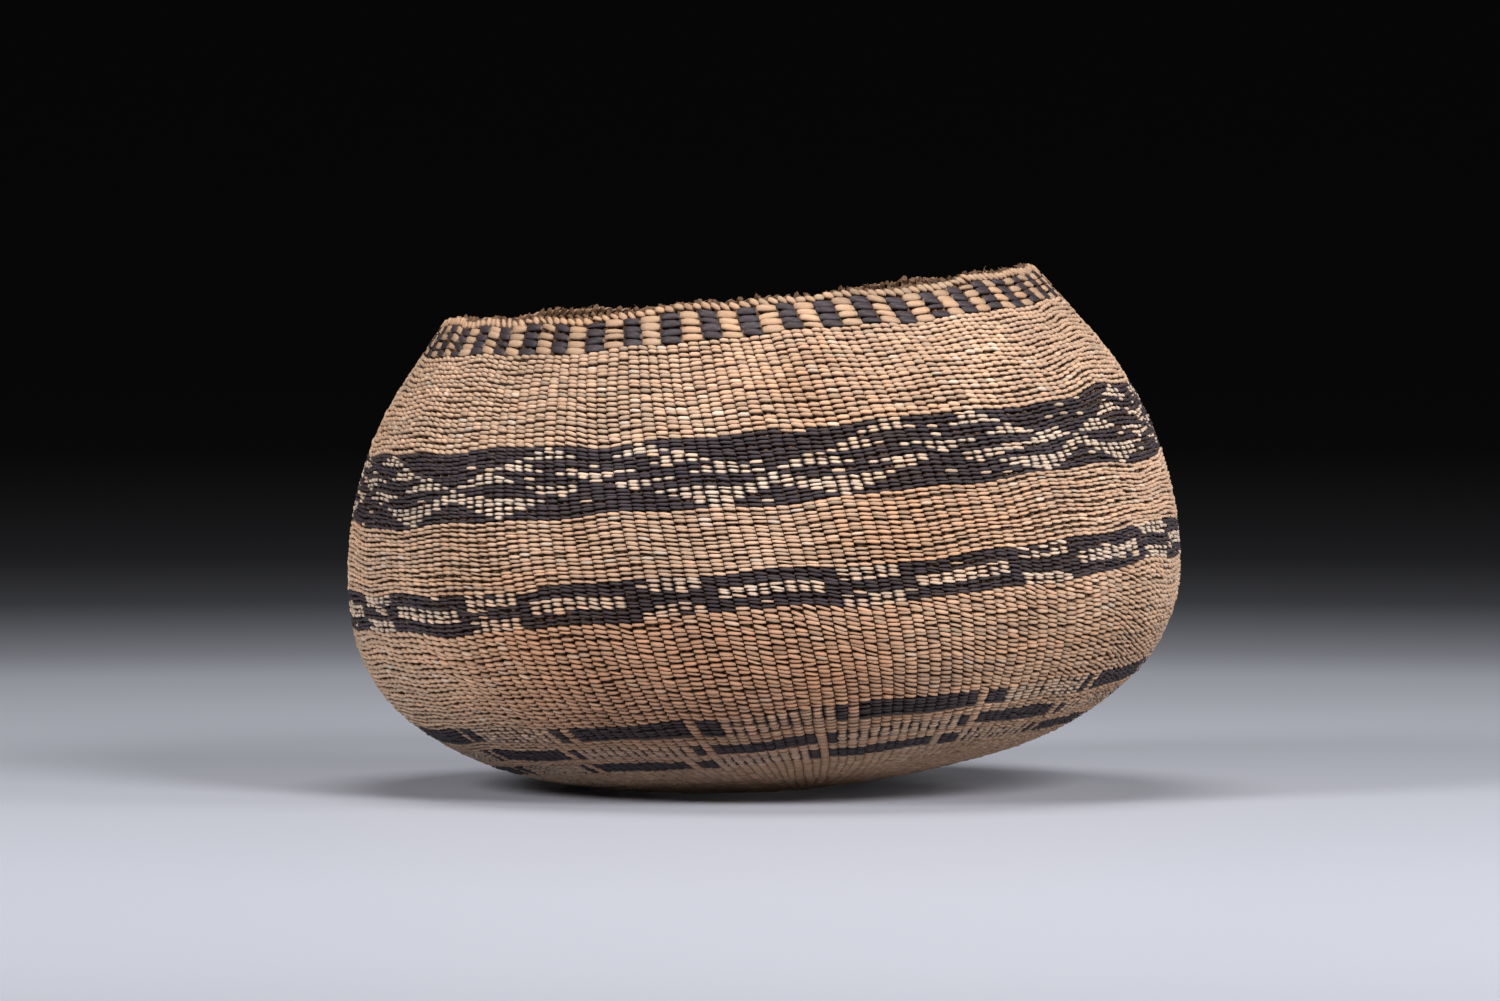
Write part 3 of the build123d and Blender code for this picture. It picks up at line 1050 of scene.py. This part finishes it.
def floor_material():
    """A plain pale floor with a painted pool of light, which darkens away from a place in front of the
    basket.
    """
    material = bpy.data.materials.new("floor")
    material.use_nodes = True
    tree = material.node_tree
    shader = tree.nodes["Principled BSDF"]
    shader.inputs["Roughness"].default_value = 0.55
    shader.inputs["Specular IOR Level"].default_value = 0.2
    where = node(tree, "ShaderNodeTexCoord", (-1000, 0)).outputs["Object"]
    ahead = vector_math(tree, (-800, 0), "ADD", where, FADE_SHIFT)
    away = vector_math(tree, (-600, 0), "LENGTH", ahead)
    fall = ranged(tree, (-400, 0), away, (0, FADE_REACH), (0, 1))
    ramp = node(tree, "ShaderNodeValToRGB", (-200, 0))
    paint = colours().floor
    for at, share in FADE_STOPS:
        stop = ramp.color_ramp.elements.new(at)
        stop.color = (*(share * part for part in paint), 1)
    ramp.color_ramp.elements[0].color = (*paint, 1)
    ramp.color_ramp.elements[-1].color = (0, 0, 0, 1)
    tree.links.new(fall, ramp.inputs["Fac"])
    tree.links.new(ramp.outputs["Color"], shader.inputs["Base Color"])
    return material


class BASKET_OT_stage(bpy.types.Operator):
    """Sets the floor, the lamps and the camera"""

    bl_idname = "basket.stage"
    bl_label = "Stage"

    def execute(self, context):
        scene = context.scene
        floor = bpy.data.objects.new("floor", floor_mesh())
        scene.collection.objects.link(floor)
        floor.data.materials.append(floor_material())
        scene.world = bpy.data.worlds.new("studio")
        scene.world.use_nodes = True
        scene.world.node_tree.nodes["Background"].inputs["Strength"].default_value = 0.25
        for name, place, size, power in LAMPS:
            lamp = bpy.data.lights.new(name, "AREA")
            lamp.shape = "DISK"
            lamp.size = size
            lamp.energy = power
            holder = bpy.data.objects.new(name, lamp)
            holder.location = place
            line = Vector(LAMP_TARGET) - Vector(place)
            holder.rotation_euler = line.to_track_quat("-Z", "Y").to_euler()
            scene.collection.objects.link(holder)
        camera = bpy.data.cameras.new("camera")
        camera.sensor_width = 36
        camera.lens = CAMERA_LENS
        camera.clip_end = 100
        eye = bpy.data.objects.new("camera", camera)
        line = Vector((0, np.cos(CAMERA_TILT), -np.sin(CAMERA_TILT)))
        eye.location = Vector(CAMERA_AIM) - CAMERA_DISTANCE * line
        eye.rotation_euler = line.to_track_quat("-Z", "Y").to_euler()
        scene.collection.objects.link(eye)
        scene.camera = eye
        scene.view_settings.view_transform = "Standard"
        return {"FINISHED"}


# The panel


class BASKET_PT_panel(bpy.types.Panel):
    """Lists the basket's pieces, sizes and colours"""

    bl_idname = "BASKET_PT_panel"
    bl_label = "Basket"
    bl_space_type = "VIEW_3D"
    bl_region_type = "UI"
    bl_category = "Basket"

    def draw(self, context):
        for operator in OPERATORS:
            self.layout.operator(operator.bl_idname)
        for group in (context.scene.basket_outline, context.scene.basket_weave, context.scene.basket_colours):
            box = self.layout.box()
            for name in type(group).__annotations__:
                box.prop(group, name)


GROUPS = (
    ("basket_outline", BasketOutline),
    ("basket_weave", BasketWeave),
    ("basket_colours", BasketColours),
)
OPERATORS = (
    BASKET_OT_stage,
    BASKET_OT_base_wefts,
    BASKET_OT_dash_band,
    BASKET_OT_lower_wall,
    BASKET_OT_chain_band,
    BASKET_OT_middle_wall,
    BASKET_OT_triangle_band,
    BASKET_OT_shoulder,
    BASKET_OT_rim_band,
    BASKET_OT_top_course,
    BASKET_OT_sticks,
    BASKET_OT_start_knot,
    BASKET_OT_fibres,
)


def register():
    for name, group in GROUPS:
        bpy.utils.register_class(group)
        setattr(bpy.types.Scene, name, PointerProperty(type=group))
    for made in (*OPERATORS, BASKET_PT_panel):
        bpy.utils.register_class(made)


def unregister():
    for made in reversed((*OPERATORS, BASKET_PT_panel)):
        bpy.utils.unregister_class(made)
    for name, group in reversed(GROUPS):
        delattr(bpy.types.Scene, name)
        bpy.utils.unregister_class(group)


def main():
    register()
    bpy.ops.basket.stage()
    bpy.ops.basket.base_wefts()
    bpy.ops.basket.dash_band()
    bpy.ops.basket.lower_wall()
    bpy.ops.basket.chain_band()
    bpy.ops.basket.middle_wall()
    bpy.ops.basket.triangle_band()
    bpy.ops.basket.shoulder()
    bpy.ops.basket.rim_band()
    bpy.ops.basket.top_course()
    bpy.ops.basket.sticks()
    bpy.ops.basket.start_knot()
    bpy.ops.basket.fibres()


if __name__ == "__main__":
    main()
